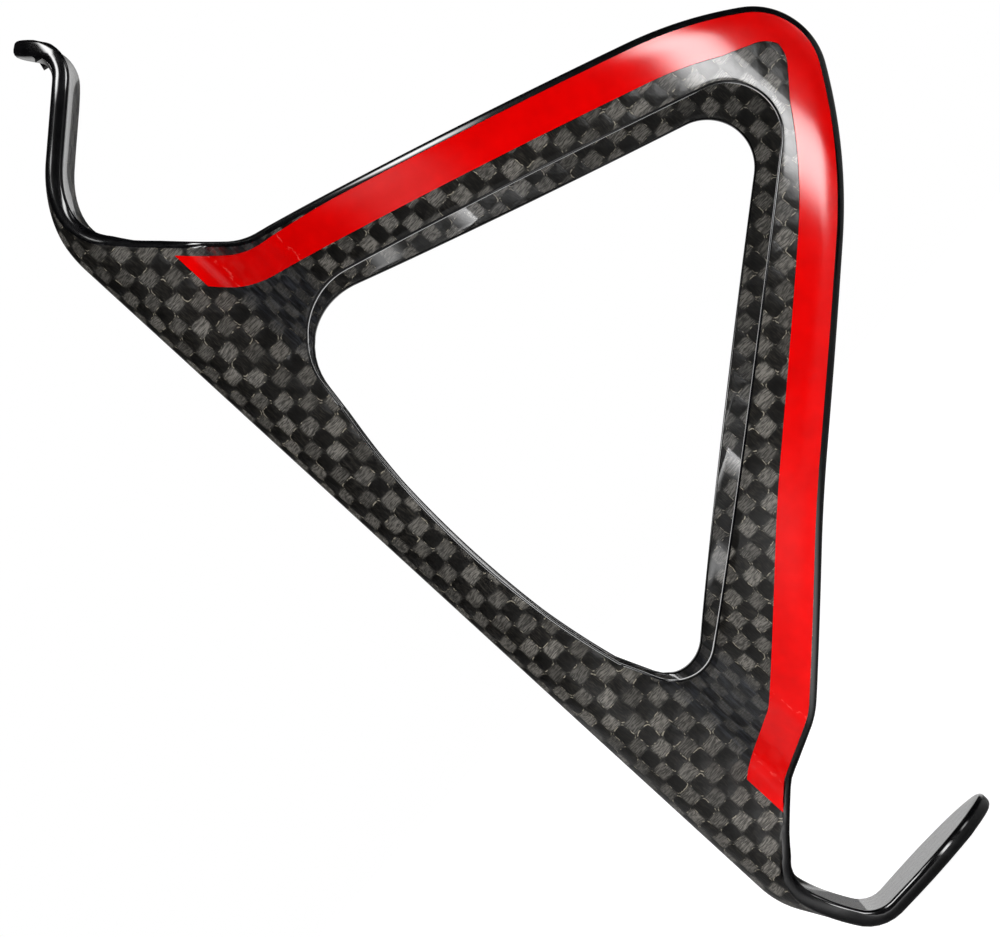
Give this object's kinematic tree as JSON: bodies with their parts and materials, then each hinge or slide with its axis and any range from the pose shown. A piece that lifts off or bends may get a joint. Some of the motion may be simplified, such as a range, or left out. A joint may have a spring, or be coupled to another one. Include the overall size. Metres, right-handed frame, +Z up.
{
  "type": "water bottle cage",
  "caption": "Carbon laminate bicycle bottle cage: channel spine that bolts to a frame, hooked top tab, bottom shelf and V-shaped sprung wings with a red edge stripe.",
  "frame": {"origin": "middle of the two bolt holes, on the flat back face of the spine", "axes": "+Z up, towards the bottle's mouth; +X from the bicycle's tube towards the bottle; -Y is the side of the left wing, as seen from the bottle's side"},
  "size_m": [0.0681, 0.0776, 0.1306],
  "materials": {
    "woven_ply": "plain-weave carbon fibre under gloss clear coat",
    "carbon_laminate": "unidirectional carbon laminate, gloss black edges",
    "red_stripe": "gloss red"
  },
  "bodies": {
    "spine": {"spine_outer_ply": "woven_ply", "spine_core": "carbon_laminate", "spine_inner_ply": "woven_ply", "upper_bolt_patch": "woven_ply", "lower_bolt_patch": "woven_ply", "shelf_lower_ply": "woven_ply", "shelf_core": "carbon_laminate", "shelf_upper_ply": "woven_ply"},
    "top_tab": {"tab_back_ply": "woven_ply", "tab_core": "carbon_laminate", "tab_front_ply": "woven_ply"},
    "left_wing": {"left_wing_outer_ply": "woven_ply", "left_wing_upper_core": "carbon_laminate", "left_wing_lower_core": "carbon_laminate", "left_wing_inner_ply": "woven_ply", "left_stripe": "red_stripe"},
    "right_wing": {"right_wing_outer_ply": "woven_ply", "right_wing_upper_core": "carbon_laminate", "right_wing_lower_core": "carbon_laminate", "right_wing_inner_ply": "woven_ply", "right_stripe": "red_stripe"}
  },
  "joints": [
    {"name": "top_tab_flex", "type": "hinge", "parent": "spine", "child": "top_tab", "pos_m": [0, 0, 0.05], "axis": [0, -1, 0], "range_deg": [0, 6], "stiffness_Nm_per_rad": 4},
    {"name": "left_wing_flex", "type": "hinge", "parent": "spine", "child": "left_wing", "pos_m": [0.0075, -0.013, 0], "axis": [0, 0, -1], "range_deg": [0, 3], "stiffness_Nm_per_rad": 10},
    {"name": "right_wing_flex", "type": "hinge", "parent": "spine", "child": "right_wing", "pos_m": [0.0075, 0.013, 0], "axis": [0, 0, 1], "range_deg": [0, 3], "stiffness_Nm_per_rad": 10}
  ]
}
